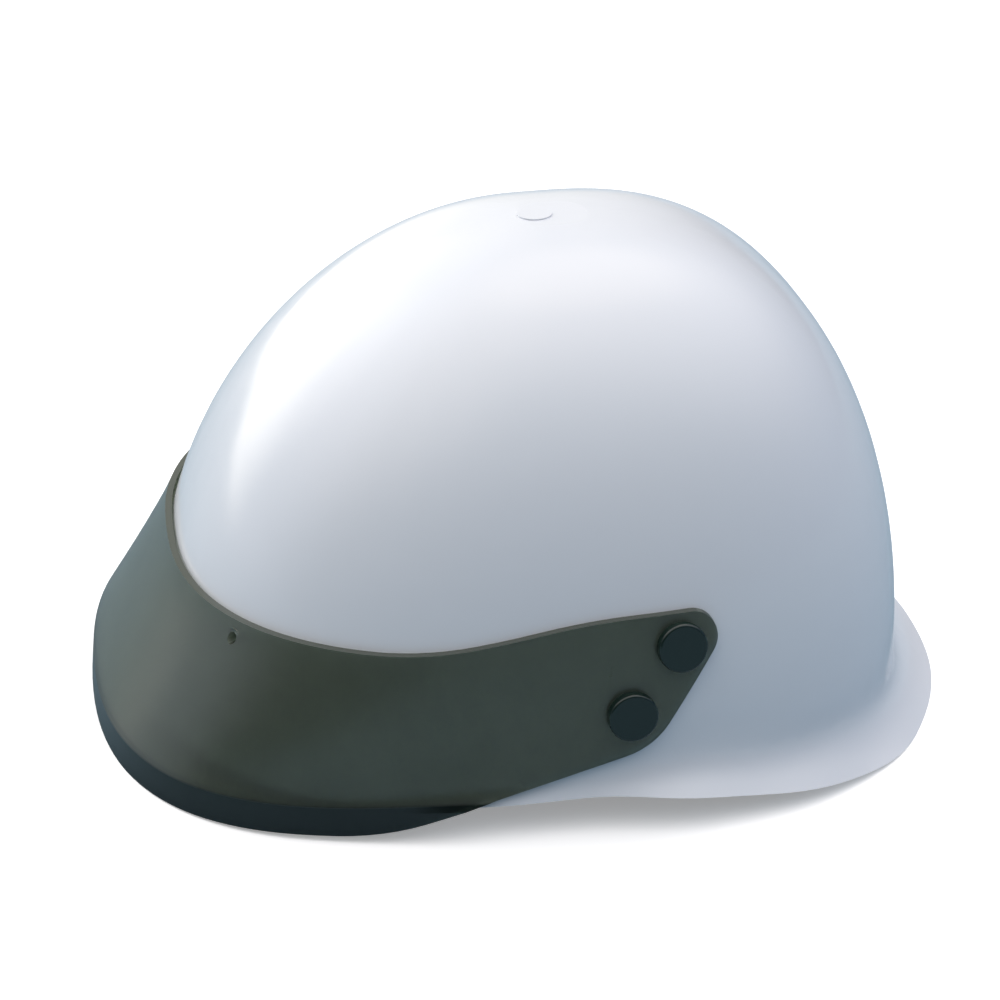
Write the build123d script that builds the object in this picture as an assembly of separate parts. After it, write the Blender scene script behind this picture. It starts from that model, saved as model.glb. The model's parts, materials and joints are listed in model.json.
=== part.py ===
from build123d import *
import os
from math import asin, cos, degrees, pi, radians, sin, sqrt

# Industrial safety helmet with a riveted smoke visor and a ratchet headband.
# Built in the head frame: +X is the wearer's left, -Y the front, +Z up, z = 0 at the
# visor's lip, and the vertical axis through the dome.  At the end the whole helmet is
# tipped by its standing angle and set down on its rear rim and visor lip.
# All lengths are millimetres.

# ---- Shell: a moulded dome with a small side lip and a flared rear brim ----
HALF_WIDTH = 105.0
FRONT_REACH = 121.3
REAR_REACH = 119.0
CROWN_HEIGHT = 149.3
CROWN_BACK = 6.8          # how far the crown lies behind the dome's axis
SHELL_WALL = 2.8
PLAN_POWER_FRONT = 2.43   # squareness of the plan outline
PLAN_POWER_REAR = 2.67
SIDE_PROFILE = {"front": (1.79, 2.26), "side": (2.46, 1.98), "rear": (2.75, 2.02)}
SIDE_LIP = 3.0            # how far the rim stands out at the sides
FRONT_LIP = 4.0
REAR_FLARE = 5.3          # even part of the rear brim's width
REAR_FLARE_SPREAD = 3.4   # how soon the brim widens behind the ears
REAR_TAIL = 10.0          # extra width close to the centre line
REAR_TAIL_POWER = 8
FLARE_HEIGHT_SIDE = 9.0   # height of the hollow fillet above the rim
FLARE_HEIGHT_REAR = 18.0
FLARE_POWER = 1.9
RIM_SIDE_Z = 7.4
RIM_REAR_Z = -9.6
RIM_DROP_LENGTH = 129.0   # the rim falls from the side to the rear over this length
GATE_DISC_RADIUS = 5.4
GATE_FORWARD = 1.7        # how far the gate lies ahead of the crown
GATE_DISC_HEIGHT = 0.2

# ---- Visor: a thin clear moulding in front, with an ear on each side ----
VISOR_THICKNESS = 2.0
VISOR_CLEARANCE = 0.3
VISOR_TOP_Z = 54.0
VISOR_BREAK_Z = 9.5       # where the slope turns down into the lip
VISOR_LIP_DRAFT = 0.8
VISOR_TOP_GAP = 0.6       # gap between the front top edge and the shell
VISOR_FLARE = 18.35       # how far the slope stands off the dome at the break
VISOR_FLARE_POWER = 1.44
VISOR_FADE_LOW = 70.5     # azimuth where the slope meets the shell at the break
VISOR_FADE_HIGH = 84.0    # the same at the top edge
VISOR_FADE_WIDTH = 46.0
EAR_TOP_Z = 61.5
EAR_RISE_FOOT = (-46.0, VISOR_TOP_Z)   # the top edge climbs to the ear between these, in long bends
EAR_RISE_HEAD = (0.0, EAR_TOP_Z)
EAR_RISE_BEND = 180.0
EAR_TIP_Y = 45.6          # where the ear's top and rear edges would meet if the tip weren't rounded
EAR_TIP_BEND = 8.0
EAR_HEEL = (18.5, 21.5)
EAR_HEEL_BEND = 22.0
EAR_LOW = (-29.0, 10.0)
EAR_LOW_BEND = 30.0
LIP_END_Y = -62.0
LIP_END_BEND = 90.0
BOSS_AZIMUTH = 32.75
BOSS_Z = 49.0
BOSS_RADIUS = 2.8
BOSS_BORE_RADIUS = 1.7
BOSS_TIP_GAP = 0.4
EAR_TICK = (92.1, 46.9)   # small moulded dash on the ear: azimuth and height
EAR_TICK_SIZE = (1.0, 3.2)
EAR_TICK_DEPTH = 0.3

# ---- Visor rivets ----
RIVETS = {"upper": (104.0, 51.4), "lower": (95.8, 32.5)}   # azimuth and height
RIVET_HEAD_RADIUS = 7.4
RIVET_HEAD_HEIGHT = 2.8
RIVET_HEAD_EDGE = 0.8
RIVET_SHANK_RADIUS = 3.0
RIVET_HOLE_CLEARANCE = 0.15
RIVET_CAP_RADIUS = 6.0
RIVET_CAP_HEIGHT = 2.5
RIVET_SEAT = 0.05
CAP_SEAT = 0.3

# ---- Foam impact liner ----
LINER_CLEARANCE = 0.3
LINER_THICKNESS = 12.0
LINER_BOTTOM_Z = 66.0
LINER_VENT_RADIUS = 6.0
LINER_VENT_Z = 92.0
LINER_VENTS = (30.0, 90.0, 150.0)

# ---- Harness: keys on the shell, webbing over the head, headband below ----
SEAT_CLEARANCE = 0.3
BAND_SIDE = 80.0          # outer half width of the headband
BAND_FRONT = 112.0        # outer front reach from the band's own centre
BAND_CENTRE_Y = 14.0
BAND_THICKNESS = 1.6
BAND_LOW_Z = 4.0
BAND_HIGH_Z = 34.0
BAND_TAIL_ANGLE = 30.0    # how far the headband runs round past its widest point
SWEAT_THICKNESS = 4.0
SWEAT_LOW_Z = 3.0
SWEAT_HIGH_Z = 31.0
SWEAT_END_ANGLE = 6.0     # the sweatband stops this far short of the widest point
KEY_AZIMUTHS = {"front": 40.0, "side": 76.0, "rear": 140.0}
KEY_Z = 27.0
KEY_WIDTH = 26.0
KEY_HEIGHT = 18.0
KEY_PLATE = 3.0
KEY_BOSS_DEPTH = 4.5
KEY_PEG_RADIUS = 3.0
KEY_PEG_LENGTH = 3.0
KEY_PEG_CLEARANCE = 0.1
KEY_ARM_HEIGHT = 4.0
KEY_ARM_WIDTH = 22.0
KEY_CLIP_WIDTH = 8.0
KEY_ARM_STAND = 1.0       # the arm passes this far above the headband
KEY_CLIP_DROP = 9.0
KEY_CLIP_WALL = 1.8
STRAP_WIDTH = 20.0
STRAP_THICKNESS = 1.2
STRAP_LAP = 2.0           # rise of each strap over the one it crosses
STRAP_CROWN_DROP = 37.3   # from the top of the shell down to the lowest strap
STRAP_CROWN_Z = CROWN_HEIGHT - STRAP_CROWN_DROP
STRAP_STAND = 2.5         # how far a strap's foot stands outside the headband
CROWN_PAD_RADIUS = 32.0
CROWN_PAD_THICKNESS = 4.0

# ---- Ratchet adjuster at the nape ----
RACK_THICKNESS = 1.6
RACK_CLEARANCE = 0.3
RACK_EDGE = 4.6           # width of a rack strip beside its teeth
TAIL_START_ANGLE = 8.0    # where a rear strip begins, from the widest point
TAIL_NARROW_ANGLE = 50.0
RACK_OVERRUN_ANGLE = 18.0
RACK_TOOTHED_ANGLE = 14.0
PINION_TEETH = 8
TOOTH_MODULE = 1.5
TOOTH_ADDENDUM = 1.15
TOOTH_DEDENDUM = 1.55
TOOTH_THICKNESS = 0.40    # share of the pitch, so the teeth keep backlash
TOOTH_TIP = 0.22          # pinion tooth tip, share of the pitch
TOOTH_SLOPE = 0.364       # tangent of the rack's flank angle
PINION_Z = 19.0
PINION_INSET = 0.1        # the pinion is a little thinner than the strips it drives
HOUSING_ANGLE = 24.0      # half length of the nape housing along the arc
HOUSING_WALL = 1.8
HOUSING_CLEARANCE = 0.4
COVER_THICKNESS = 1.8
KNOB_RADIUS = 14.0
KNOB_LENGTH = 9.0
KNOB_GRIPS = 16
KNOB_GRIP_RADIUS = 1.3
KNOB_SHAFT_RADIUS = 4.0
KNOB_SHAFT_CLEARANCE = 0.15
KNOB_PIN_RADIUS = 2.0
KNOB_GAP = 0.4
NAPE_PAD_THICKNESS = 3.0

REST_CUT = 0.25           # depth of the flats the helmet stands on

os.makedirs("parts", exist_ok=True)
SPAN = 400.0              # longer than the helmet, for cutting tools
ON_BASE = (Align.CENTER, Align.CENTER, Align.MIN)
UNDER_BASE = (Align.CENTER, Align.CENTER, Align.MAX)
PLAN_POINTS = 32
SIDES = {"left": 1, "right": -1}


# ---- The dome as formulas --------------------------------------------------
def smooth_step(value):
    """0 below 0, 1 above 1, with a level start and end."""
    t = min(max(value, 0.0), 1.0)
    return t * t * (3 - 2 * t)


def profile_powers(phi):
    """Powers of the side profile at azimuth phi, blended from front, side and rear."""
    end = SIDE_PROFILE["front" if cos(phi) > 0 else "rear"]
    side = SIDE_PROFILE["side"]
    share = cos(phi) ** 2
    return [s + (e - s) * share for s, e in zip(side, end)]


def plan_radius(phi, inset=0.0):
    """Radius of the dome's plan outline at azimuth phi, measured from the front."""
    front = cos(phi) > 0
    reach = (FRONT_REACH if front else REAR_REACH) - inset
    power = PLAN_POWER_FRONT if front else PLAN_POWER_REAR
    across = (abs(sin(phi)) / (HALF_WIDTH - inset)) ** power
    return (across + (abs(cos(phi)) / reach) ** power) ** (-1 / power)


def dome_radius(phi, z, inset=0.0):
    """Horizontal radius of the dome at azimuth phi and height z."""
    p, q = profile_powers(phi)
    level = min(max(z / (CROWN_HEIGHT - inset), 0.0), 1.0)
    return plan_radius(phi, inset) * (1 - level ** q) ** (1 / p)


def rim_z(phi):
    """Height of the rim: level at the front and sides, lower at the rear."""
    y = -plan_radius(phi) * cos(phi)
    return RIM_SIDE_Z + (RIM_REAR_Z - RIM_SIDE_Z) * smooth_step(y / RIM_DROP_LENGTH)


def flare_width(phi):
    """How far the rim stands out from the dome."""
    c = cos(phi)
    if c > 0:
        return SIDE_LIP + (FRONT_LIP - SIDE_LIP) * c * c
    spread = 1 - (1 + c) ** REAR_FLARE_SPREAD
    return SIDE_LIP + REAR_FLARE * spread + REAR_TAIL * abs(c) ** REAR_TAIL_POWER


def flare(phi, z):
    """Extra radius and its slope at height z: a hollow fillet that fades into the dome."""
    rear = max(-cos(phi), 0.0)
    height = FLARE_HEIGHT_SIDE + (FLARE_HEIGHT_REAR - FLARE_HEIGHT_SIDE) * rear
    rise = 1 - max((z - rim_z(phi)) / height, -0.25)
    if rise <= 0:
        return 0.0, 0.0
    width = flare_width(phi)
    return width * rise ** FLARE_POWER, -width * FLARE_POWER / height * rise ** (FLARE_POWER - 1)


def shell_radius(phi, z, inset=0.0):
    """Radius of the shell with its brim; inset gives the inner face, the wall kept even."""
    extra, slope = flare(phi, z)
    return dome_radius(phi, z, inset) + extra - inset * (sqrt(1 + slope * slope) - 1)


def centre_y(z):
    """The dome's sections move back as they rise to the crown."""
    return CROWN_BACK * z / CROWN_HEIGHT


def section(radius, z, points=PLAN_POINTS):
    """Closed smooth outline at height z from a radius formula."""
    outline = []
    for i in range(points):
        phi = 2 * pi * i / points + pi
        r = radius(phi, z)
        outline.append(Vector(r * sin(phi), centre_y(z) - r * cos(phi), z))
    even = [i / points for i in range(points + 1)]
    return Wire([Edge.make_spline(outline, periodic=True, parameters=even)])


def body_of(radius, heights, ruled=False):
    return Solid.make_loft([section(radius, z) for z in heights], ruled)


def dome_heights(bottom, inset=0.0):
    """Section heights from bottom up to a small flat at the crown, closer near the top."""
    top = CROWN_HEIGHT - inset - 0.25
    levels = [-8, -2, 4, 10, 17, 26, 40, 58, 78, 98, 116, 130, 140]
    return [z for z in levels if bottom + 3 < z < top - 5] + [top - 2.5, top]


def side_prism(outline):
    """A tool as wide as the helmet, from an outline in the side view (y, z)."""
    face = make_face(Plane.YZ * outline)
    return extrude(face, amount=SPAN / 2, dir=(1, 0, 0), both=True)


def surface_frame(radius, azimuth, z):
    """Plane on a radius formula's surface, its z axis pointing outwards."""
    phi = radians(azimuth)

    def point(a, h):
        r = radius(a, h)
        return Vector(r * sin(a), centre_y(h) - r * cos(a), h)

    step = 0.01
    around = point(phi + step, z) - point(phi - step, z)
    up = point(phi, z + 1) - point(phi, z - 1)
    normal = around.cross(up).normalized()
    spot = point(phi, z)
    if normal.dot(Vector(sin(phi), -cos(phi), 0)) < 0:
        normal = -normal
    return Plane(origin=spot, x_dir=around, z_dir=normal)


def mirrored(side, shape):
    """The left piece as modelled, or its mirror image for the right side."""
    return shape if side == "left" else mirror(shape, about=Plane.YZ)


# ---- Shell -----------------------------------------------------------------
RIM_BLANK_Z = -14.0


def shell_inner(phi, z):
    return shell_radius(phi, z, SHELL_WALL)


ARM_LOW_Z = BAND_HIGH_Z + KEY_ARM_STAND
ARM_HIGH_Z = ARM_LOW_Z + KEY_ARM_HEIGHT


def boss_reach(azimuth):
    """Distance from the dome's axis to a harness boss's face."""
    return shell_inner(radians(azimuth), ARM_HIGH_Z + 1) - KEY_BOSS_DEPTH


def key_plane(azimuth):
    """Upright plane on the face of a harness boss, facing the wearer's head."""
    phi = radians(azimuth)
    reach = boss_reach(azimuth)
    inward = Vector(-sin(phi), cos(phi), 0)
    spot = Vector(reach * sin(phi), centre_y(KEY_Z) - reach * cos(phi), KEY_Z)
    return Plane(origin=spot, x_dir=(-cos(phi), -sin(phi), 0), z_dir=inward)


def rivet_frame(height, radius=shell_radius):
    azimuth, z = RIVETS[height]
    return surface_frame(radius, azimuth, z)


def rivet_drill(height):
    return rivet_frame(height) * Cylinder(RIVET_SHANK_RADIUS + RIVET_HOLE_CLEARANCE, 6 * SHELL_WALL)


def make_shell():
    outer = body_of(shell_radius, [RIM_BLANK_Z] + dome_heights(RIM_BLANK_Z))
    inner = body_of(shell_inner, [RIM_BLANK_Z] + dome_heights(RIM_BLANK_Z, SHELL_WALL))
    gate = Pos(0, CROWN_BACK - GATE_FORWARD, CROWN_HEIGHT - SHELL_WALL / 2) * Cylinder(
        GATE_DISC_RADIUS, SHELL_WALL / 2 + GATE_DISC_HEIGHT, align=ON_BASE)
    bosses = []
    for azimuth in KEY_AZIMUTHS.values():
        block = Box(KEY_WIDTH, KEY_HEIGHT, 4 * KEY_BOSS_DEPTH, align=UNDER_BASE)
        hole = Cylinder(KEY_PEG_RADIUS + KEY_PEG_CLEARANCE, KEY_PEG_LENGTH + 0.5, align=UNDER_BASE)
        left = key_plane(azimuth) * (block - hole)
        bosses += [left, mirrored("right", left)]
    shell = outer - inner + gate
    for boss in bosses:
        shell += boss & outer
    drop = Bezier((0, RIM_SIDE_Z), (RIM_DROP_LENGTH / 3, RIM_SIDE_Z),
                  (2 * RIM_DROP_LENGTH / 3, RIM_REAR_Z), (RIM_DROP_LENGTH, RIM_REAR_Z))
    frame = Polyline((RIM_DROP_LENGTH, RIM_REAR_Z), (SPAN / 2, RIM_REAR_Z), (SPAN / 2, -SPAN / 4),
                     (-SPAN / 2, -SPAN / 4), (-SPAN / 2, RIM_SIDE_Z), (0, RIM_SIDE_Z))
    shell -= side_prism(drop + frame)
    for height in RIVETS:
        drill = rivet_drill(height)
        shell = shell - drill - mirrored("right", drill)
    return shell


# ---- Visor -----------------------------------------------------------------
def visor_stand(phi, z):
    """Radius the visor follows: the shell at the ears, a slope well clear of it in front."""
    azimuth = degrees(abs((phi + pi) % (2 * pi) - pi))
    depth = min(max((VISOR_TOP_Z - z) / (VISOR_TOP_Z - VISOR_BREAK_Z), 0.0), 1.0)
    end = VISOR_FADE_HIGH + (VISOR_FADE_LOW - VISOR_FADE_HIGH) * depth
    fade = smooth_step((end - azimuth) / VISOR_FADE_WIDTH)
    lift = VISOR_TOP_GAP + (VISOR_FLARE - VISOR_TOP_GAP) * depth ** VISOR_FLARE_POWER
    return dome_radius(phi, z) + fade * lift + (1 - fade) * flare(phi, z)[0]


def visor_face(phi, z, offset):
    """Radius of a visor face; offset is its distance outwards from the shell's face."""
    def base(height):
        return visor_stand(phi, height)

    level = max(z, VISOR_BREAK_Z)
    slope = base(level + 1) - base(level)
    lip = VISOR_LIP_DRAFT * max(VISOR_BREAK_Z - z, 0.0) / VISOR_BREAK_Z
    return max(base(level) + offset * sqrt(1 + slope * slope) + lip, shell_radius(phi, z) + offset)


def visor_outer(phi, z):
    return visor_face(phi, z, VISOR_CLEARANCE + VISOR_THICKNESS)


def visor_inner(phi, z):
    return visor_face(phi, z, VISOR_CLEARANCE)


VISOR_HEIGHTS = [VISOR_BREAK_Z, 13, 18, 24, 31, 38, 45, VISOR_TOP_Z, 60, 66]


def make_visor():
    low = -2.0
    blanks = []
    for face in (visor_outer, visor_inner):
        blanks.append(body_of(face, VISOR_HEIGHTS) + body_of(face, [low, RIM_SIDE_Z, VISOR_BREAK_Z], True))
    skin = blanks[0] - blanks[1]
    outline = FilletPolyline(
        (-SPAN / 2, 0), (-SPAN / 2, VISOR_TOP_Z), EAR_RISE_FOOT, EAR_RISE_HEAD,
        (EAR_TIP_Y, EAR_TOP_Z), EAR_HEEL, EAR_LOW, (LIP_END_Y, 0),
        radius=[0.1, 0.1, EAR_RISE_BEND, EAR_RISE_BEND, EAR_TIP_BEND, EAR_HEEL_BEND, EAR_LOW_BEND,
                LIP_END_BEND], close=True)
    visor = skin & side_prism(outline)
    boss, bore = make_visor_boss()
    visor = visor + boss + mirrored("right", boss)
    visor = visor - bore - mirrored("right", bore)
    azimuth, z = EAR_TICK
    tick = Box(EAR_TICK_SIZE[0], EAR_TICK_SIZE[1], 2 * EAR_TICK_DEPTH)
    visor -= surface_frame(visor_outer, azimuth, z) * tick
    for height in RIVETS:
        drill = rivet_drill(height)
        visor = visor - drill - mirrored("right", drill)
    return visor


def make_visor_boss():
    """Hollow spacer that holds the visor's slope off the shell, and its bore."""
    phi = radians(BOSS_AZIMUTH)
    outward = Vector(sin(phi), -cos(phi), 0)
    middle = Vector(0, centre_y(BOSS_Z), BOSS_Z)
    root = visor_outer(phi, BOSS_Z) - VISOR_THICKNESS / 2
    tip = shell_radius(phi, BOSS_Z) - BOSS_RADIUS
    place = Plane(origin=outward * tip + middle, z_dir=outward)
    bore = place * Cylinder(BOSS_BORE_RADIUS, root - tip + 2 * VISOR_THICKNESS, align=ON_BASE)

    def cleared(phi, z):
        return shell_radius(phi, z) + BOSS_TIP_GAP

    heights = [BOSS_Z + step * BOSS_RADIUS for step in (-4, -2, 0, 2, 4)]
    return place * Cylinder(BOSS_RADIUS, root - tip, align=ON_BASE) - body_of(cleared, heights), bore


# ---- Visor rivets: a button head outside, a cap pressed on inside ----------
def make_rivet(height):
    seat = VISOR_CLEARANCE + VISOR_THICKNESS + RIVET_SEAT
    head = Cylinder(RIVET_HEAD_RADIUS, RIVET_HEAD_HEIGHT, align=ON_BASE)
    head = fillet(head.edges().sort_by(Axis.Z)[-1], RIVET_HEAD_EDGE)
    grip = seat + SHELL_WALL + CAP_SEAT + RIVET_CAP_HEIGHT
    shank = Pos(0, 0, 1) * Cylinder(RIVET_SHANK_RADIUS, grip + 1, align=UNDER_BASE)
    return rivet_frame(height) * Pos(0, 0, seat) * (head + shank)


def make_rivet_cap(height):
    cap = Cylinder(RIVET_CAP_RADIUS, RIVET_CAP_HEIGHT, align=UNDER_BASE)
    cap -= Cylinder(RIVET_SHANK_RADIUS, 3 * RIVET_CAP_HEIGHT)
    return rivet_frame(height) * Pos(0, 0, -SHELL_WALL - CAP_SEAT) * cap


# ---- Foam impact liner ------------------------------------------------------
def make_liner():
    gap = SHELL_WALL + LINER_CLEARANCE
    core = gap + LINER_THICKNESS

    def outside(phi, z):
        return dome_radius(phi, z, gap)

    def inside(phi, z):
        return dome_radius(phi, z, core)

    liner = body_of(outside, [LINER_BOTTOM_Z] + dome_heights(LINER_BOTTOM_Z, gap))
    liner -= body_of(inside, [LINER_BOTTOM_Z] + dome_heights(LINER_BOTTOM_Z, core))
    for azimuth in LINER_VENTS:
        vent = surface_frame(outside, azimuth, LINER_VENT_Z) * Cylinder(LINER_VENT_RADIUS, 4 * LINER_THICKNESS)
        liner = liner - vent - mirrored("right", vent)
    return liner


# ---- Headband and sweatband -------------------------------------------------
def band_body(offset, low, high):
    """Upright oval body: half an ellipse in front, half a circle behind."""
    side = BAND_SIDE + offset
    front = Ellipse(side, BAND_FRONT + offset) & Rectangle(SPAN, SPAN, align=(Align.CENTER, Align.MAX))
    rear = Circle(side) & Rectangle(SPAN, SPAN, align=(Align.CENTER, Align.MIN))
    return extrude(Pos(0, BAND_CENTRE_Y, low) * (front + rear), amount=high - low)


def ring_sector(radius, start, end, low, high):
    """Wedge round the band's centre; angles in degrees from +X towards the rear."""
    wedge = Cylinder(radius, high - low, arc_size=end - start, align=(Align.NONE, Align.NONE, Align.MIN))
    return Pos(0, BAND_CENTRE_Y, low) * Rot(0, 0, start) * wedge


def band_wall(outer, inner, low, high, tail_angle):
    """The oval wall's front half, with tails that run on round the sides."""
    wall = band_body(outer, low, high) - band_body(inner, low - 1, high + 1)
    return wall - ring_sector(SPAN / 2, tail_angle, 180 - tail_angle, low - 1, high + 1)


def make_headband():
    return band_wall(0, -BAND_THICKNESS, BAND_LOW_Z, BAND_HIGH_Z, BAND_TAIL_ANGLE)


def make_sweatband():
    outer = -BAND_THICKNESS - SEAT_CLEARANCE
    return band_wall(outer, outer - SWEAT_THICKNESS, SWEAT_LOW_Z, SWEAT_HIGH_Z, -SWEAT_END_ANGLE)


# ---- Harness keys: peg into the shell's boss, arm in over the headband ------
def band_reach(azimuth):
    """Distance from the dome's axis to the headband's outer face, along an azimuth."""
    c, s = cos(radians(azimuth)), sin(radians(azimuth))
    offset = BAND_CENTRE_Y - centre_y(KEY_Z)
    front = BAND_FRONT if -BAND_SIDE * c < offset * s else BAND_SIDE
    a = (s / BAND_SIDE) ** 2 + (c / front) ** 2
    b = c * offset / front ** 2
    return (-b + sqrt(b * b - a * ((offset / front) ** 2 - 1))) / a


def key_gap(azimuth):
    """Distance from a boss's face in to the headband's outer face."""
    return boss_reach(azimuth) - band_reach(azimuth)


def band_sag(azimuth, width):
    """How far the headband's face falls away from square over half a key's width."""
    step = 1.0
    skew = (band_reach(azimuth + step) - band_reach(azimuth - step)) / radians(2 * step) / band_reach(azimuth)
    return abs(skew) * width / 2 + width ** 2 / (8 * BAND_SIDE)


def key_block(width, low, high, start, end):
    """A block in a key's own frame: z low to high, and from start to end inwards."""
    block = Box(width, high - low, end - start, align=(Align.CENTER, Align.MIN, Align.MIN))
    return Pos(0, low - KEY_Z, start) * block


def make_key(name):
    azimuth = KEY_AZIMUTHS[name]
    gap = key_gap(azimuth)
    key = key_block(KEY_WIDTH, KEY_Z - KEY_HEIGHT / 2, ARM_HIGH_Z, 0, KEY_PLATE)
    key += Cylinder(KEY_PEG_RADIUS, KEY_PEG_LENGTH, align=UNDER_BASE)
    if name == "rear":
        return key_plane(azimuth) * (key + key_block(KEY_ARM_WIDTH, ARM_LOW_Z, ARM_HIGH_Z, 0, gap))
    sag = band_sag(azimuth, KEY_CLIP_WIDTH)
    inside = gap + BAND_THICKNESS + sag + SEAT_CLEARANCE
    outside = gap - sag - SEAT_CLEARANCE
    key += key_block(KEY_ARM_WIDTH, ARM_LOW_Z, ARM_HIGH_Z, 0, inside + KEY_CLIP_WALL)
    key += key_block(KEY_CLIP_WIDTH, SWEAT_HIGH_Z + 1, ARM_LOW_Z, inside, inside + KEY_CLIP_WALL)
    key += key_block(KEY_CLIP_WIDTH, ARM_LOW_Z - KEY_CLIP_DROP, ARM_LOW_Z, outside - KEY_CLIP_WALL, outside)
    return key_plane(azimuth) * key


# ---- Webbing straps over the head -------------------------------------------
def strap_profile(left_reach, right_reach, foot_z, crown_z):
    """Side view of a strap: two quarter ellipses that meet level at the crown."""
    band = None
    for reach, turn in ((left_reach, 0), (right_reach, 90)):
        outer = Ellipse(reach + STRAP_THICKNESS / 2, crown_z - foot_z + STRAP_THICKNESS)
        inner = Ellipse(reach - STRAP_THICKNESS / 2, crown_z - foot_z)
        quarter = Rot(0, 0, turn) * Rectangle(SPAN / 2, SPAN / 2, align=(Align.MIN, Align.MIN))
        piece = (outer - inner) & quarter
        band = piece if band is None else band + piece
    return Pos(0, foot_z) * band


def make_cross_strap(front_side, layer):
    """From the front key on one side over the crown to the rear key on the other."""
    azimuth = KEY_AZIMUTHS["front"] * SIDES[front_side]
    foot = ARM_HIGH_Z + SEAT_CLEARANCE
    band = strap_profile(band_reach(KEY_AZIMUTHS["front"]) + STRAP_STAND,
                         band_reach(KEY_AZIMUTHS["rear"]) + STRAP_STAND - STRAP_THICKNESS - 4,
                         foot, STRAP_CROWN_Z + layer * STRAP_LAP)
    across = Vector(sin(radians(azimuth)), -cos(radians(azimuth)), 0)
    upright = Plane(origin=(0, centre_y(KEY_Z), 0), x_dir=across, z_dir=across.cross(Vector(0, 0, 1)))
    return extrude(upright * band, amount=STRAP_WIDTH / 2, both=True)


def make_side_strap():
    """Straight across, between the two side keys."""
    azimuth = KEY_AZIMUTHS["side"]
    reach = band_reach(azimuth) + STRAP_STAND
    y = centre_y(KEY_Z) - reach * cos(radians(azimuth))
    half = reach * sin(radians(azimuth))
    band = strap_profile(half, half, ARM_HIGH_Z + SEAT_CLEARANCE, STRAP_CROWN_Z + 2 * STRAP_LAP)
    return extrude(Plane(origin=(0, y, 0), x_dir=(1, 0, 0), z_dir=(0, -1, 0)) * band,
                   amount=STRAP_WIDTH / 2, both=True)


def make_crown_pad():
    z = STRAP_CROWN_Z + 2 * STRAP_LAP + STRAP_THICKNESS + SEAT_CLEARANCE
    pad = Cylinder(CROWN_PAD_RADIUS, CROWN_PAD_THICKNESS, align=ON_BASE)
    return Pos(0, centre_y(z), z) * pad


# ---- Ratchet at the nape: two toothed strips and a pinion between them ------
PITCH_RADIUS = PINION_TEETH * TOOTH_MODULE / 2
TOOTH_PITCH = pi * TOOTH_MODULE
TAIL_INNER = BAND_SIDE + RACK_CLEARANCE
TAIL_OUTER = TAIL_INNER + RACK_THICKNESS
TAIL_MIDDLE = (TAIL_INNER + TAIL_OUTER) / 2
RACK_ROOT = PITCH_RADIUS + TOOTH_DEDENDUM      # distances from the pinion's axis
RACK_BACK = RACK_ROOT + RACK_EDGE
KNOB_AXIS = Plane(origin=(0, BAND_CENTRE_Y, PINION_Z), x_dir=(-1, 0, 0), z_dir=(0, 1, 0))


def tooth(base, tip, root_width, tip_width):
    """One tapered tooth in a plane, pointing along +Y from base to tip."""
    return make_face(Polyline((-root_width / 2, base), (-tip_width / 2, tip),
                              (tip_width / 2, tip), (root_width / 2, base), close=True))


def make_tail(side):
    """Rear strip of the headband: broad at the side, a rack at the nape."""
    top = PINION_Z + RACK_BACK
    low = PINION_Z - RACK_BACK
    end = 90 + RACK_OVERRUN_ANGLE
    broad = ring_sector(TAIL_OUTER, TAIL_START_ANGLE, TAIL_NARROW_ANGLE, low, top)
    narrow = ring_sector(TAIL_OUTER, TAIL_NARROW_ANGLE - 1, end, PINION_Z + RACK_ROOT, top)
    tail = broad + narrow
    root = TOOTH_THICKNESS * TOOTH_PITCH + 2 * TOOTH_DEDENDUM * TOOTH_SLOPE
    tip = TOOTH_THICKNESS * TOOTH_PITCH - 2 * TOOTH_ADDENDUM * TOOTH_SLOPE
    count = int(RACK_TOOTHED_ANGLE / degrees(TOOTH_PITCH / TAIL_MIDDLE))
    shape = tooth(-RACK_ROOT - 0.5, -PITCH_RADIUS + TOOTH_ADDENDUM, root, tip)
    for i in range(-count, count + 1):
        turn = degrees((i + 0.5) * TOOTH_PITCH / TAIL_MIDDLE)
        spike = extrude(KNOB_AXIS * (Rot(0, 0, 180) * shape), amount=TAIL_OUTER)
        tail += Pos(0, BAND_CENTRE_Y, 0) * Rot(0, 0, turn) * Pos(0, -BAND_CENTRE_Y, 0) * spike
    hollow = Pos(0, BAND_CENTRE_Y, 0) * Cylinder(TAIL_INNER, SPAN)
    tail = (tail - hollow) & (Pos(0, BAND_CENTRE_Y, 0) * Cylinder(TAIL_OUTER, SPAN))
    if side == "left":
        return tail
    return Pos(0, 0, PINION_Z) * Rot(0, 180, 0) * Pos(0, 0, -PINION_Z) * tail


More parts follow.
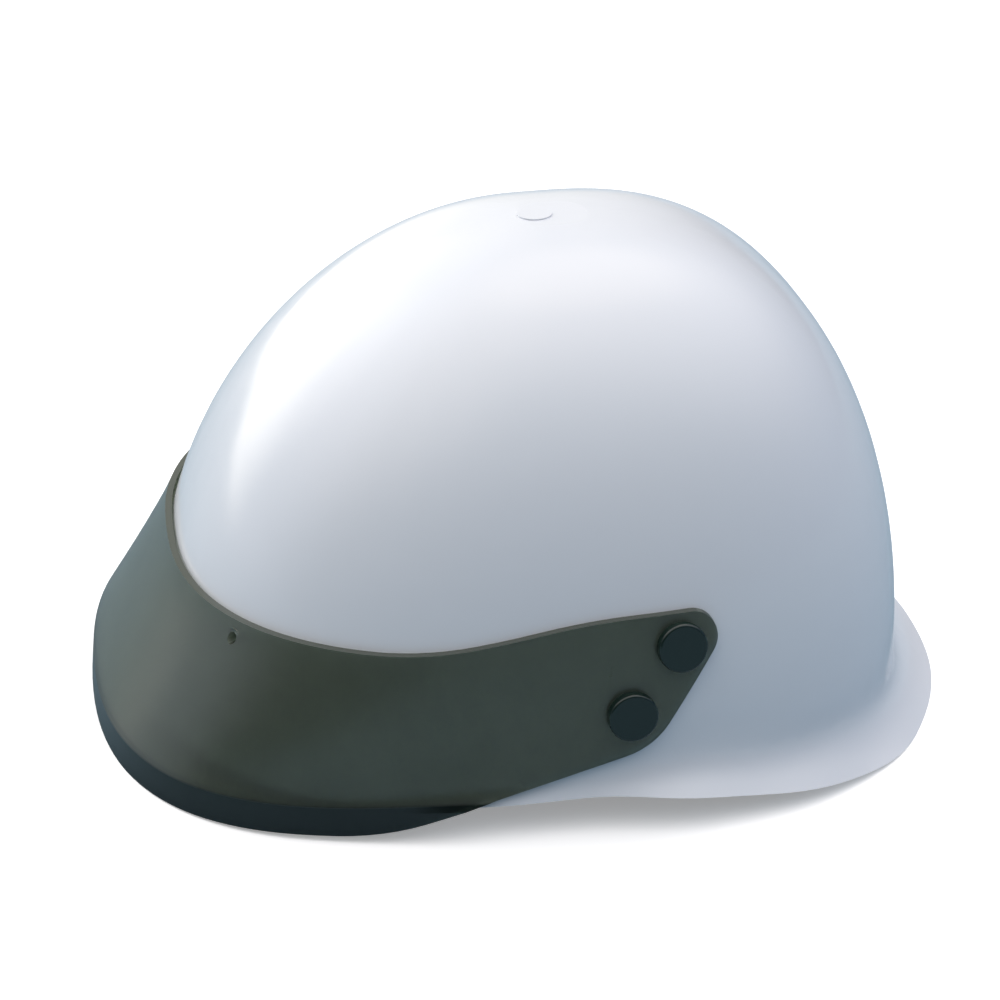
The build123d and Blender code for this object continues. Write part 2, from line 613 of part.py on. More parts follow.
def make_knob():
    """Grip, shaft, pinion and tail pin as one turning piece."""
    low = TAIL_INNER + PINION_INSET
    high = TAIL_OUTER - PINION_INSET
    root_radius = PITCH_RADIUS - TOOTH_DEDENDUM
    teeth = Circle(root_radius)
    root = TOOTH_THICKNESS * TOOTH_PITCH
    shape = tooth(root_radius - 1, PITCH_RADIUS + TOOTH_ADDENDUM, root, TOOTH_TIP * TOOTH_PITCH)
    for i in range(PINION_TEETH):
        teeth += Rot(0, 0, 360 * i / PINION_TEETH) * shape
    knob = extrude(KNOB_AXIS * Pos(0, 0, low) * teeth, amount=high - low)
    face = COVER_OUTER + KNOB_GAP
    knob += KNOB_AXIS * Pos(0, 0, high) * Cylinder(KNOB_SHAFT_RADIUS, face - high + 1, align=ON_BASE)
    pin = TAIL_INNER - HOUSING_CLEARANCE - HOUSING_WALL + 0.3
    knob += KNOB_AXIS * Pos(0, 0, pin) * Cylinder(KNOB_PIN_RADIUS, low - pin + 0.5, align=ON_BASE)
    grip = Cylinder(KNOB_RADIUS, KNOB_LENGTH, align=ON_BASE)
    grip = fillet(grip.edges().sort_by(Axis.Z)[-1], 1.2)
    for i in range(KNOB_GRIPS):
        groove = Cylinder(KNOB_GRIP_RADIUS, KNOB_LENGTH - 1.5, align=ON_BASE)
        grip -= Rot(0, 0, 360 * i / KNOB_GRIPS) * Pos(KNOB_RADIUS, 0, 1.5) * groove
    return knob + KNOB_AXIS * Pos(0, 0, face) * grip


COVER_INNER = TAIL_OUTER + HOUSING_CLEARANCE
COVER_OUTER = COVER_INNER + COVER_THICKNESS
TUNNEL_LOW = PINION_Z - RACK_BACK - HOUSING_CLEARANCE
TUNNEL_HIGH = PINION_Z + RACK_BACK + HOUSING_CLEARANCE


def nape_sector(inner, outer, low, high, half_angle=None):
    half = half_angle or HOUSING_ANGLE
    return ring_sector(outer, 90 - half, 90 + half, low, high) - ring_sector(
        inner, 89 - half, 91 + half, low - 1, high + 1)


def make_nape_housing():
    inner = TAIL_INNER - HOUSING_CLEARANCE - HOUSING_WALL
    housing = nape_sector(inner, COVER_INNER, TUNNEL_LOW - HOUSING_WALL, TUNNEL_HIGH + HOUSING_WALL)
    housing -= nape_sector(inner + HOUSING_WALL, SPAN / 2, TUNNEL_LOW, TUNNEL_HIGH, HOUSING_ANGLE + 2)
    return housing - KNOB_AXIS * Cylinder(KNOB_PIN_RADIUS + KNOB_SHAFT_CLEARANCE, SPAN / 2, align=ON_BASE)


def make_nape_cover():
    cover = nape_sector(COVER_INNER, COVER_OUTER, TUNNEL_LOW - HOUSING_WALL, TUNNEL_HIGH + HOUSING_WALL)
    return cover - KNOB_AXIS * Cylinder(KNOB_SHAFT_RADIUS + KNOB_SHAFT_CLEARANCE, SPAN / 2, align=ON_BASE)


def make_nape_pad():
    outer = TAIL_INNER - HOUSING_CLEARANCE - HOUSING_WALL - SEAT_CLEARANCE
    return nape_sector(outer - NAPE_PAD_THICKNESS, outer, TUNNEL_LOW, TUNNEL_HIGH, HOUSING_ANGLE - 2)


# ---- Stand the helmet on its rear rim and visor lip --------------------------
def make_helmet():
    """Every piece in the head frame, by node name."""
    pieces = {"shell": make_shell(), "visor": make_visor(), "impact_liner": make_liner()}
    pieces["headband"] = make_headband()
    pieces["sweatband"] = make_sweatband()
    for side in SIDES:
        for height in RIVETS:
            pieces[f"visor_rivet_{side}_{height}"] = mirrored(side, make_rivet(height))
            pieces[f"rivet_cap_{side}_{height}"] = mirrored(side, make_rivet_cap(height))
        for name in KEY_AZIMUTHS:
            pieces[f"harness_key_{side}_{name}"] = mirrored(side, make_key(name))
        pieces[f"headband_tail_{side}"] = make_tail(side)
    pieces["crown_strap_left_front"] = make_cross_strap("left", 0)
    pieces["crown_strap_right_front"] = make_cross_strap("right", 1)
    pieces["crown_strap_side"] = make_side_strap()
    pieces["crown_pad"] = make_crown_pad()
    pieces["nape_housing"] = make_nape_housing()
    pieces["nape_cover"] = make_nape_cover()
    pieces["nape_pad"] = make_nape_pad()
    pieces["adjuster_knob"] = make_knob()
    return pieces


def standing_location(pieces):
    """Tip the head frame so that the rear rim and the visor lip are level, origin below the middle."""
    tip = 0.0
    for _ in range(4):
        shell, visor = [(Rot(tip, 0, 0) * pieces[name]).bounding_box() for name in ("shell", "visor")]
        tip += degrees(asin((visor.min.Z - shell.min.Z) / (shell.max.Y - visor.min.Y)))
    low = min(shell.min.Z, visor.min.Z) + REST_CUT
    return Pos(0, -(shell.max.Y + visor.min.Y) / 2, -low) * Rot(tip, 0, 0)


helmet = make_helmet()
standing = standing_location(helmet)
ground = Box(SPAN, SPAN, SPAN, align=UNDER_BASE)
for node, piece in helmet.items():
    placed = standing * piece
    if node in ("shell", "visor"):
        placed -= ground
    export_step(placed, f"parts/{node}.step")
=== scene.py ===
import bpy
import bmesh
import json
from math import atan2, cos, hypot, pi, radians, sin, sqrt
from mathutils import Matrix, Vector


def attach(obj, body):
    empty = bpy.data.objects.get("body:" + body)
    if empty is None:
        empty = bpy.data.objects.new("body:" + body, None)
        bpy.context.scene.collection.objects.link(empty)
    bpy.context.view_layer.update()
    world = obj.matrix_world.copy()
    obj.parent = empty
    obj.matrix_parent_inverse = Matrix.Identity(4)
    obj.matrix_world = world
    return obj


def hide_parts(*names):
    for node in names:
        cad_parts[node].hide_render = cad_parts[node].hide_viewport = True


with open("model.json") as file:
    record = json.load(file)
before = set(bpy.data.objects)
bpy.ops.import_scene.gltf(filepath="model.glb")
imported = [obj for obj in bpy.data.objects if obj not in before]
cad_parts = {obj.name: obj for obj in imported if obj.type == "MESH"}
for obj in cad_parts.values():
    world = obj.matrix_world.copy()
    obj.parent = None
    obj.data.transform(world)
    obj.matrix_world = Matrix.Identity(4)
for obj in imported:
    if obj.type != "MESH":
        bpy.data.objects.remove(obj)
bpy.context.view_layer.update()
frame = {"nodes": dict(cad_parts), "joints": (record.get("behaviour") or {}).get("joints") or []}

# ---- How the helmet stands ---------------------------------------------------
# The helmet is drawn for an upright head and then tipped back a little, so that it
# rests on the visor's lip and on the rear brim. The knob's axis gives the tip.
joints = {joint["name"]: joint for joint in frame["joints"]}
knob_axis = Vector(joints["knob_turn"]["axis"])
knob_place = Vector(joints["knob_turn"]["pos_m"])
PINION_PLACE = Vector((0.0, 0.014, 0.019))     # on the upright head
tip = atan2(knob_axis.z, knob_axis.y)
standing = (Matrix.Translation(knob_place) @ Matrix.Rotation(tip, 4, "X")
            @ Matrix.Translation(-PINION_PLACE))

# ---- Camera ------------------------------------------------------------------
# A long lens a little above the helmet, looking at the wearer's left side.
CAMERA_ROUND = radians(79.06)
CAMERA_UP = radians(26.31)
CAMERA_ROLL = radians(-0.5)
CAMERA_DISTANCE = 0.7021
CAMERA_LENS = 78.1             # mm, on a 36 mm wide sensor
CAMERA_SHIFT_X = -0.0202
CAMERA_SHIFT_Y = -0.0539
AIM = Vector((0.0, 0.0, 0.070))

back = Vector((sin(CAMERA_ROUND) * cos(CAMERA_UP), -cos(CAMERA_ROUND) * cos(CAMERA_UP), sin(CAMERA_UP)))
across = Vector((cos(CAMERA_ROUND), sin(CAMERA_ROUND), 0.0))
upward = back.cross(across)
rolled_across = across * cos(CAMERA_ROLL) + upward * sin(CAMERA_ROLL)
rolled_up = upward * cos(CAMERA_ROLL) - across * sin(CAMERA_ROLL)
turned = Matrix((rolled_across, rolled_up, back)).transposed().to_4x4()
lens = bpy.data.cameras.new("camera")
lens.lens = CAMERA_LENS
lens.sensor_width = 36.0
lens.shift_x = CAMERA_SHIFT_X
lens.shift_y = CAMERA_SHIFT_Y
camera = bpy.data.objects.new("camera", lens)
camera.matrix_world = standing @ Matrix.Translation(AIM + back * CAMERA_DISTANCE) @ turned
bpy.context.collection.objects.link(camera)
bpy.context.scene.camera = camera

# ---- Studio ------------------------------------------------------------------
# White paper underfoot and broad soft light from the ceiling, from before and from behind.
# Low warm light beyond the visor brightens its far side, and two small soft boxes give
# the shell its highlights.
PAPER = "FFFFFF"
PAPER_BOUNCE = "8099A8"        # what the helmet gets back from the paper, in its own shade
PAPER_THROUGH = "D6D4C4"       # the paper looked at through the visor
PAPER_GLOW = 0.3               # lifts the paper to plain white for the camera
PAPER_WIDTH = 12.0


def linear(text):
    """An sRGB hex colour as the linear values that shaders use."""
    parts = [int(text[i:i + 2], 16) / 255 for i in (0, 2, 4)]
    return [p / 12.92 if p <= 0.04045 else ((p + 0.055) / 1.055) ** 2.4 for p in parts] + [1.0]


def add_node(tree, kind, inputs=None, **settings):
    """Adds one node; inputs maps its sockets to values or to other nodes' outputs."""
    made = tree.nodes.new(kind)
    for name, value in settings.items():
        setattr(made, name, value)
    for name, value in (inputs or {}).items():
        if isinstance(value, bpy.types.NodeSocket):
            tree.links.new(value, made.inputs[name])
        else:
            made.inputs[name].default_value = value
    return made


def new_material(name, colour, roughness, ior):
    """A material, its node tree and its surface, started from three typical values."""
    made = bpy.data.materials.new(name)
    made.use_nodes = True
    surface = made.node_tree.nodes["Principled BSDF"]
    surface.inputs["Base Color"].default_value = linear(colour)
    surface.inputs["Roughness"].default_value = roughness
    surface.inputs["IOR"].default_value = ior
    return made, made.node_tree, surface


paper, tree, surface = new_material("white_paper", PAPER_BOUNCE, 0.9, 1.45)
surface.inputs["Specular IOR Level"].default_value = 0.1
sheet = add_node(tree, "ShaderNodeBsdfDiffuse", {"Color": linear(PAPER)})
glow = add_node(tree, "ShaderNodeEmission", {"Color": (1, 1, 1, 1), "Strength": PAPER_GLOW})
lit = add_node(tree, "ShaderNodeAddShader", {0: sheet.outputs[0], 1: glow.outputs[0]})
seen = add_node(tree, "ShaderNodeLightPath")
through = add_node(tree, "ShaderNodeBsdfDiffuse", {"Color": linear(PAPER_THROUGH)})
bounced = add_node(tree, "ShaderNodeMixShader", {
    0: seen.outputs["Is Transmission Ray"], 1: surface.outputs[0], 2: through.outputs[0]})
shown = add_node(tree, "ShaderNodeMixShader", {
    0: seen.outputs["Is Camera Ray"], 1: bounced.outputs[0], 2: lit.outputs[0]})
tree.links.new(shown.outputs[0], tree.nodes["Material Output"].inputs["Surface"])

bpy.ops.mesh.primitive_plane_add(size=PAPER_WIDTH, location=(0, 0, 0))
floor = bpy.context.object
floor.name = "floor"
floor.data.materials.append(paper)

world = bpy.data.worlds.new("studio")
bpy.context.scene.world = world
world.use_nodes = True
tree = world.node_tree
facing = add_node(tree, "ShaderNodeTexCoord")


def add_soft_light(lights, round_angle, up_angle, core, reach, colour, strength):
    """A light with a feathered edge, placed by its angles from the visor's side."""
    turn, lift = radians(round_angle), radians(up_angle)
    toward = (sin(turn) * cos(lift), -cos(turn) * cos(lift), sin(lift))
    near = add_node(tree, "ShaderNodeVectorMath", {0: facing.outputs["Generated"], 1: toward},
                    operation="DOT_PRODUCT")
    feather = add_node(tree, "ShaderNodeMapRange", {
        "Value": near.outputs["Value"], "From Min": cos(radians(reach)), "From Max": cos(radians(core)),
        "To Max": strength}, interpolation_type="SMOOTHSTEP")
    lit = add_node(tree, "ShaderNodeVectorMath", {
        0: linear(colour)[:3], "Scale": feather.outputs[0]}, operation="SCALE")
    both = add_node(tree, "ShaderNodeVectorMath", {0: lights, 1: lit.outputs[0]}, operation="ADD")
    return both.outputs[0]


lights = (0, 0, 0)
for light in (                  # round, up, core and reach in degrees, colour, strength
        (0, 90, 0, 70, "F2FBFF", 0.95),
        (0, 60, 0, 50, "FFF0E4", 0.84),
        (180, 60, 0, 50, "FFEFE8", 0.8),
        (-32, 18, 0, 56, "E4EEFF", 0.85),
        (-72, 5, 0, 50, "F8FAF2", 0.8),
        (-60, -4, 0, 38, "FFF2DC", 1.45),
        (170, 22, 0, 70, "A8CCFF", 0.32),
        (-112, 66, 6, 26, "FFEBD4", 0.8),
        (-45, 26, 6, 24, "FFF6EC", 0.9)):
    lights = add_soft_light(lights, *light)
room = tree.nodes["Background"]
tree.links.new(lights, room.inputs["Color"])
white = add_node(tree, "ShaderNodeBackground", {"Color": (1, 1, 1, 1), "Strength": 1.0})
seen = add_node(tree, "ShaderNodeLightPath")
shown = add_node(tree, "ShaderNodeMixShader", {
    0: seen.outputs["Is Camera Ray"], 1: room.outputs[0], 2: white.outputs[0]})
tree.links.new(shown.outputs[0], tree.nodes["World Output"].inputs["Surface"])
bpy.context.scene.view_settings.view_transform = "Standard"

# ---- Shell -------------------------------------------------------------------
# One injection moulding in white ABS, 2.8 mm thick. The polished mould leaves it
# glossy, with the faintest waviness where the plastic cooled over the inside bosses.
SHELL_WHITE = "E9ECF2"
COOLING_WAVE = 38.0            # mm from swell to swell
HANDLING_MARK = 9.0            # mm across the duller smears left by hands

abs_plastic, tree, surface = new_material("glossy_white_abs", SHELL_WHITE, 0.14, 1.53)
place = add_node(tree, "ShaderNodeTexCoord")
smears = add_node(tree, "ShaderNodeTexNoise", {
    "Vector": place.outputs["Object"], "Scale": 1000 / HANDLING_MARK, "Detail": 3.0})
gloss = add_node(tree, "ShaderNodeMapRange", {
    "Value": smears.outputs["Fac"], "From Min": 0.35, "From Max": 0.75, "To Min": 0.15, "To Max": 0.20})
tree.links.new(gloss.outputs[0], surface.inputs["Roughness"])
waves = add_node(tree, "ShaderNodeTexNoise", {
    "Vector": place.outputs["Object"], "Scale": 1000 / COOLING_WAVE, "Detail": 1.0})
ripple = add_node(tree, "ShaderNodeBump", {
    "Height": waves.outputs["Fac"], "Strength": 0.25, "Distance": 0.0002})
tree.links.new(ripple.outputs[0], surface.inputs["Normal"])


def finish_node(name, material):
    """Gives a CAD node its material."""
    for part in frame["nodes"][name].material_slots:
        part.material = material


finish_node("shell", abs_plastic)

# ---- Visor -------------------------------------------------------------------
# Smoke polycarbonate, 2 mm thick and tinted in the mass. Its inside is lightly frosted,
# so what lies behind it only shows as soft tones. Its cut upper edge looks dark olive.
# Its upright lip is tinted darker as painted shade, for the shadow under and behind it.
SMOKE = "949F93"
SMOKE_STREAK = "889387"
SMOKE_LIP_PAINTED_SHADE = "24342F"          # painted shade: the upright lip is tinted darker to stand in for the shadow under and behind it
SMOKE_EDGE = "464B43"
SMOKE_MILKINESS = 0.12        # the share of light that the tint scatters
LIP_TOP = 0.0095               # on the upright head
LIP_FADE = 0.0004
FLOW_LINE = 14.0              # mm, the soft streaks of the moulded tint
FROST = 1.2                   # mm

smoke, tree, surface = new_material("smoke_polycarbonate", SMOKE, 0.28, 1.585)
place = add_node(tree, "ShaderNodeTexCoord")
lie = add_node(tree, "ShaderNodeNewGeometry")
lie_parts = add_node(tree, "ShaderNodeSeparateXYZ", {0: lie.outputs["Normal"]})
upper_edge = add_node(tree, "ShaderNodeMapRange", {
    "Value": lie_parts.outputs["Z"], "From Min": 0.93, "From Max": 0.98})
streaks = add_node(tree, "ShaderNodeTexNoise", {
    "Vector": place.outputs["Object"], "Scale": 1000 / FLOW_LINE, "Detail": 2.0})
tint = add_node(tree, "ShaderNodeMixRGB", {
    "Fac": streaks.outputs["Fac"], "Color1": linear(SMOKE), "Color2": linear(SMOKE_STREAK)})
upright = standing.inverted()
worn = add_node(tree, "ShaderNodeMapping", {
    "Vector": place.outputs["Object"], "Location": upright.to_translation(), "Rotation": upright.to_euler()})
worn_parts = add_node(tree, "ShaderNodeSeparateXYZ", {0: worn.outputs[0]})
# painted shade: below the lip's top the tint turns to the dark lip colour
lip_shade_mask = add_node(tree, "ShaderNodeMapRange", {
    "Value": worn_parts.outputs["Z"], "From Min": LIP_TOP + LIP_FADE, "From Max": LIP_TOP - LIP_FADE})
lip_painted_shade = add_node(tree, "ShaderNodeMixRGB", {
    "Fac": lip_shade_mask.outputs[0], "Color1": tint.outputs["Color"], "Color2": linear(SMOKE_LIP_PAINTED_SHADE)})
shade = add_node(tree, "ShaderNodeMixRGB", {
    "Fac": upper_edge.outputs[0], "Color1": lip_painted_shade.outputs["Color"], "Color2": linear(SMOKE_EDGE)})
tree.links.new(shade.outputs["Color"], surface.inputs["Base Color"])
clear = add_node(tree, "ShaderNodeMapRange", {
    "Value": upper_edge.outputs[0], "To Min": 1 - SMOKE_MILKINESS, "To Max": 0.0})
tree.links.new(clear.outputs[0], surface.inputs["Transmission Weight"])
skin = add_node(tree, "ShaderNodeTexNoise", {
    "Vector": place.outputs["Object"], "Scale": 1000 / FROST, "Detail": 2.0})
haze = add_node(tree, "ShaderNodeBump", {
    "Height": skin.outputs["Fac"], "Strength": 0.12, "Distance": 0.00005})
tree.links.new(haze.outputs[0], surface.inputs["Normal"])
finish_node("visor", smoke)

# ---- Visor rivets and their caps ---------------------------------------------
# Black nylon buttons pushed through visor and shell, with a plain cap pressed on from
# inside. The mould leaves a smooth face with a very fine spark-eroded grain.
NYLON = "152622"
SPARK_GRAIN = 0.35             # mm
NYLON_BLOOM = 5.0              # mm across the duller patches

nylon, tree, surface = new_material("black_nylon", NYLON, 0.24, 1.53)
place = add_node(tree, "ShaderNodeTexCoord")
grain = add_node(tree, "ShaderNodeTexNoise", {
    "Vector": place.outputs["Object"], "Scale": 1000 / SPARK_GRAIN, "Detail": 2.0})
sparks = add_node(tree, "ShaderNodeBump", {
    "Height": grain.outputs["Fac"], "Strength": 0.15, "Distance": 0.00003})
tree.links.new(sparks.outputs[0], surface.inputs["Normal"])
bloom = add_node(tree, "ShaderNodeTexNoise", {
    "Vector": place.outputs["Object"], "Scale": 1000 / NYLON_BLOOM, "Detail": 2.0})
dull = add_node(tree, "ShaderNodeMapRange", {
    "Value": bloom.outputs["Fac"], "To Min": 0.12, "To Max": 0.24})
tree.links.new(dull.outputs[0], surface.inputs["Roughness"])
for side in ("left", "right"):
    for place_name in ("upper", "lower"):
        finish_node(f"visor_rivet_{side}_{place_name}", nylon)
        finish_node(f"rivet_cap_{side}_{place_name}", nylon)

# ---- Impact liner ------------------------------------------------------------
# Expanded polystyrene, moulded to the dome in one piece. The steam-fused beads, about
# 3 mm across, show as pale cells with sunken joints.
FOAM = "ECECE8"
FOAM_JOINT = "D4D4CE"
BEAD = 3.0                     # mm

foam, tree, surface = new_material("expanded_polystyrene", FOAM, 0.75, 1.5)
place = add_node(tree, "ShaderNodeTexCoord")
beads = add_node(tree, "ShaderNodeTexVoronoi", {
    "Vector": place.outputs["Object"], "Scale": 1000 / BEAD, "Randomness": 0.8}, feature="DISTANCE_TO_EDGE")
joint = add_node(tree, "ShaderNodeMapRange", {"Value": beads.outputs["Distance"], "From Max": 0.09})
cells = add_node(tree, "ShaderNodeMixRGB", {
    "Fac": joint.outputs[0], "Color1": linear(FOAM_JOINT), "Color2": linear(FOAM)})
tree.links.new(cells.outputs["Color"], surface.inputs["Base Color"])
pillow = add_node(tree, "ShaderNodeBump", {
    "Height": joint.outputs[0], "Strength": 0.6, "Distance": 0.0003})
tree.links.new(pillow.outputs[0], surface.inputs["Normal"])
finish_node("impact_liner", foam)

# ---- Headband, harness keys and nape housing -----------------------------------
# Grey polyethylene mouldings: supple, waxy and satin, with a fine leathery mould grain
# and paler scuffs where the pieces rub. The keys plug into the shell's bosses.
POLYETHYLENE = "6E7377"
POLYETHYLENE_SCUFF = "85898C"
MOULD_GRAIN = 0.7              # mm
SCUFF = 12.0                   # mm across a rubbed patch

supple, tree, surface = new_material("grey_polyethylene", POLYETHYLENE, 0.42, 1.51)
place = add_node(tree, "ShaderNodeTexCoord")
scuffs = add_node(tree, "ShaderNodeTexNoise", {
    "Vector": place.outputs["Object"], "Scale": 1000 / SCUFF, "Detail": 6.0, "Roughness": 0.65})
rubbed = add_node(tree, "ShaderNodeMapRange", {
    "Value": scuffs.outputs["Fac"], "From Min": 0.52, "From Max": 0.72})
greys = add_node(tree, "ShaderNodeMixRGB", {
    "Fac": rubbed.outputs[0], "Color1": linear(POLYETHYLENE), "Color2": linear(POLYETHYLENE_SCUFF)})
tree.links.new(greys.outputs["Color"], surface.inputs["Base Color"])
satin = add_node(tree, "ShaderNodeMapRange", {
    "Value": scuffs.outputs["Fac"], "To Min": 0.34, "To Max": 0.52})
tree.links.new(satin.outputs[0], surface.inputs["Roughness"])
pores = add_node(tree, "ShaderNodeTexVoronoi", {
    "Vector": place.outputs["Object"], "Scale": 1000 / MOULD_GRAIN})
leathery = add_node(tree, "ShaderNodeBump", {
    "Height": pores.outputs["Distance"], "Strength": 0.2, "Distance": 0.0001})
tree.links.new(leathery.outputs[0], surface.inputs["Normal"])
for name in ("headband", "headband_tail_left", "headband_tail_right", "nape_housing", "nape_cover"):
    finish_node(name, supple)
for side in ("left", "right"):
    for place_name in ("front", "side", "rear"):
        finish_node(f"harness_key_{side}_{place_name}", supple)

# ---- Adjuster knob -------------------------------------------------------------
# Black polypropylene, one moulding with its pinion. The grip is a little more worn than
# the rest, so its ribs shine.
POLYPROPYLENE = "23272A"
GRIP_WEAR = 4.0                # mm across a shiny patch
GRIP_GRAIN = 0.5               # mm

hard, tree, surface = new_material("black_polypropylene", POLYPROPYLENE, 0.38, 1.49)
place = add_node(tree, "ShaderNodeTexCoord")
wear = add_node(tree, "ShaderNodeTexNoise", {
    "Vector": place.outputs["Object"], "Scale": 1000 / GRIP_WEAR, "Detail": 5.0})
worn = add_node(tree, "ShaderNodeMapRange", {
    "Value": wear.outputs["Fac"], "To Min": 0.28, "To Max": 0.48})
tree.links.new(worn.outputs[0], surface.inputs["Roughness"])
grain = add_node(tree, "ShaderNodeTexNoise", {
    "Vector": place.outputs["Object"], "Scale": 1000 / GRIP_GRAIN, "Detail": 2.0})
rough_skin = add_node(tree, "ShaderNodeBump", {
    "Height": grain.outputs["Fac"], "Strength": 0.2, "Distance": 0.00008})
tree.links.new(rough_skin.outputs[0], surface.inputs["Normal"])
finish_node("adjuster_knob", hard)

# ---- Crown straps --------------------------------------------------------------
# Three lengths of 20 mm polyester webbing, 1.2 mm thick, in a plain weave. Each runs
# from key to key over the head and is sewn down at both ends with a crossed box.
WEBBING = "8F9598"
WEBBING_PALE = "A2A7A9"
WEBBING_GAP = "565C60"
WEFT = 1.3                     # mm from pick to pick, coarse enough to show
STRAP_WIDTH = 0.020
STRAP_THICKNESS = 0.0012
STRAP_STAND = 0.0025           # how far a strap's foot stands outside the headband
BAND_SIDE = 0.080
BAND_FRONT = 0.112
BAND_CENTRE = 0.014
CROWN_BACK = 0.0068            # how far the crown lies behind the dome's axis
CROWN_HEIGHT = 0.1493
KEY_HEIGHT = 0.027
ARM_TOP = 0.039                # top of the keys' arms, which carry the webbing
ARM_CLEARANCE = 0.0003
REAR_FOLD = 0.004              # the rear feet stand further in by this
FRONT_KEY = 40                 # degrees round from the front
SIDE_KEY = 76
REAR_KEY = 140
STRAP_CROWN = 0.112
STRAP_LAP = 0.002              # each strap clears the one it crosses by this

webbing, tree, surface = new_material("polyester_webbing", WEBBING, 0.7, 1.5)
surface.inputs["Sheen Weight"].default_value = 0.25
surface.inputs["Sheen Roughness"].default_value = 0.4
run = add_node(tree, "ShaderNodeUVMap", uv_map="along")
picks = add_node(tree, "ShaderNodeTexBrick", {
    "Vector": run.outputs["UV"], "Color1": linear(WEBBING), "Color2": linear(WEBBING_PALE),
    "Mortar": linear(WEBBING_GAP), "Scale": 1.0, "Mortar Size": WEFT * 0.09, "Mortar Smooth": 0.8,
    "Bias": 0.0, "Brick Width": WEFT * 1.6, "Row Height": WEFT * 0.8}, offset=0.5)
tree.links.new(picks.outputs["Color"], surface.inputs["Base Color"])
raised = add_node(tree, "ShaderNodeBump", {
    "Height": picks.outputs["Fac"], "Strength": 0.5, "Distance": 0.0003}, invert=True)
tree.links.new(raised.outputs[0], surface.inputs["Normal"])


def axis_back(height):
    """The middle of the dome moves back as it rises."""
    return CROWN_BACK * height / CROWN_HEIGHT


def band_reach(azimuth):
    """From the dome's axis out to the headband, along an azimuth from the front."""
    c, s = cos(radians(azimuth)), sin(radians(azimuth))
    offset = BAND_CENTRE - axis_back(KEY_HEIGHT)
    front = BAND_FRONT if -BAND_SIDE * c < offset * s else BAND_SIDE
    a = (s / BAND_SIDE) ** 2 + (c / front) ** 2
    b = c * offset / front ** 2
    return (-b + sqrt(b * b - a * ((offset / front) ** 2 - 1))) / a


def strap_line(near, far, foot, crown, steps=40):
    """Two quarter ellipses that meet level at the crown, as (distance across, height)."""
    half = STRAP_THICKNESS / 2
    points = []
    for i in range(steps + 1):
        turn = pi * i / steps
        reach = near if cos(turn) > 0 else far
        points.append((reach * cos(turn), foot + (crown - foot + half) * sin(turn)))
    return points


def make_strap(name, heading, start, line):
    """Webbing along a line in an upright plane, its rounded selvedges included."""
    side = Vector((0, 0, 1)).cross(heading)
    half, edge = STRAP_WIDTH / 2, STRAP_THICKNESS / 2
    bars = []
    travelled = 0.0
    for i, (reach, height) in enumerate(line):
        ahead = line[min(i + 1, len(line) - 1)]
        behind = line[max(i - 1, 0)]
        run_x, run_z = ahead[0] - behind[0], ahead[1] - behind[1]
        length = hypot(run_x, run_z)
        normal = heading * (-run_z / length) + Vector((0, 0, run_x / length))
        spot = start + heading * reach + Vector((0, 0, height))
        if i:
            travelled += hypot(reach - line[i - 1][0], height - line[i - 1][1])
        ring = []
        for across_by, off in (
                (-half, 0), (-half + edge, edge * 0.85), (-half * 0.5, edge), (half * 0.5, edge),
                (half - edge, edge * 0.85), (half, 0), (half - edge, -edge * 0.85),
                (half * 0.5, -edge), (-half * 0.5, -edge), (-half + edge, -edge * 0.85)):
            ring.append((spot + side * across_by + normal * off, travelled, across_by))
        bars.append(ring)
    mesh = bpy.data.meshes.new(name)
    build = bmesh.new()
    layer = build.loops.layers.uv.new("along")
    corners = {}
    grid = []
    for ring in bars:
        row = []
        for point, along, wide in ring:
            corner = build.verts.new(standing @ point)
            corners[corner] = (along * 1000, wide * 1000)
            row.append(corner)
        grid.append(row)
    for low, high in zip(grid, grid[1:]):
        for i in range(len(low)):
            j = (i + 1) % len(low)
            build.faces.new((low[i], low[j], high[j], high[i]))
    build.faces.new(list(reversed(grid[0])))
    build.faces.new(grid[-1])
    for face in build.faces:
        face.smooth = True
        for loop in face.loops:
            loop[layer].uv = corners[loop.vert]
    bmesh.ops.recalc_face_normals(build, faces=build.faces)
    build.to_mesh(mesh)
    build.free()
    made = bpy.data.objects.new(name, mesh)
    bpy.context.collection.objects.link(made)
    mesh.materials.append(webbing)
    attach(made, "helmet")
    return made


foot = ARM_TOP + ARM_CLEARANCE
middle = Vector((0, axis_back(KEY_HEIGHT), 0))
near = band_reach(FRONT_KEY) + STRAP_STAND
far = band_reach(REAR_KEY) + STRAP_STAND - STRAP_THICKNESS - REAR_FOLD
for name, node, turn, crown in (
        ("strap_left_front", "crown_strap_left_front", FRONT_KEY, STRAP_CROWN),
        ("strap_right_front", "crown_strap_right_front", -FRONT_KEY, STRAP_CROWN + STRAP_LAP)):
    heading = Vector((sin(radians(turn)), -cos(radians(turn)), 0))
    strap = make_strap(name, heading, middle, strap_line(near, far, foot, crown))
    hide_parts(node)
reach = band_reach(SIDE_KEY) + STRAP_STAND
half = reach * sin(radians(SIDE_KEY))
level = middle - Vector((0, reach * cos(radians(SIDE_KEY)), 0))
strap = make_strap("strap_side", Vector((1, 0, 0)), level,
                   strap_line(half, half, foot, STRAP_CROWN + 2 * STRAP_LAP))
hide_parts("crown_strap_side")

# ---- Sweatband, crown pad and nape pad -------------------------------------------
# Brushed charcoal knit over thin foam. Each is two layers of cloth sewn together round
# the edge and across in channels, so the cloth swells between the seams.
KNIT = "303338"
KNIT_LIGHT = "43474D"
STITCH = 0.9                   # mm from loop to loop, coarse enough to show
KNIT_PILE = 6.0                # mm across the brushed patches
SWEAT_LOW = 0.0035
SWEAT_HIGH = 0.0305
SWEAT_GAP = 0.0021             # from the headband's outside in to the cloth
SWEAT_SWELL = 0.0032

